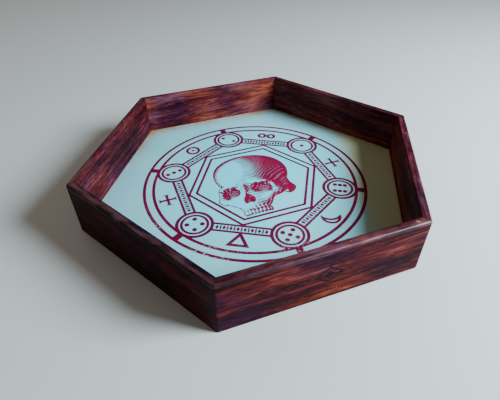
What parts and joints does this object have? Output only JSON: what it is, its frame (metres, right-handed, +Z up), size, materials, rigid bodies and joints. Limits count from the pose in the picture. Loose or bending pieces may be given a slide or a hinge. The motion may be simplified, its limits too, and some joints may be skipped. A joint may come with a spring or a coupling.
{
  "type": "dice tray",
  "caption": "Hexagonal wooden dice tray with mitred board walls, a grooved-in floor panel and a printed playing mat.",
  "frame": {"origin": "centre of the hexagon, on the surface the tray stands on", "axes": "+Z up; two corners of the hexagon lie on the X axis, and a flat side faces -Y, the front"},
  "size_m": [0.2598, 0.2252, 0.039],
  "materials": {
    "wall_wood": "satin oiled, dark red-brown with orange, purple and near-black streaks along each board",
    "spline_wood": "raw, out of sight",
    "panel_plywood": "raw birch-faced plywood",
    "mat_leathercloth": "smooth printed leathercloth, pale blue-green in the middle and stained brown and yellow at the edges",
    "mat_ink": "matt dark wine-red print on the mat",
    "burnt_mark": "matt, burnt into the front board"
  },
  "bodies": {
    "root": {"wall_back": "wall_wood", "wall_back_left": "wall_wood", "wall_front_left": "wall_wood", "wall_front": "wall_wood", "wall_front_right": "wall_wood", "wall_back_right": "wall_wood", "mitre_spline_right": "spline_wood", "mitre_spline_back_right": "spline_wood", "mitre_spline_back_left": "spline_wood", "mitre_spline_left": "spline_wood", "mitre_spline_front_left": "spline_wood", "mitre_spline_front_right": "spline_wood", "floor_panel": "panel_plywood", "playing_mat": "mat_leathercloth"}
  },
  "joints": []
}
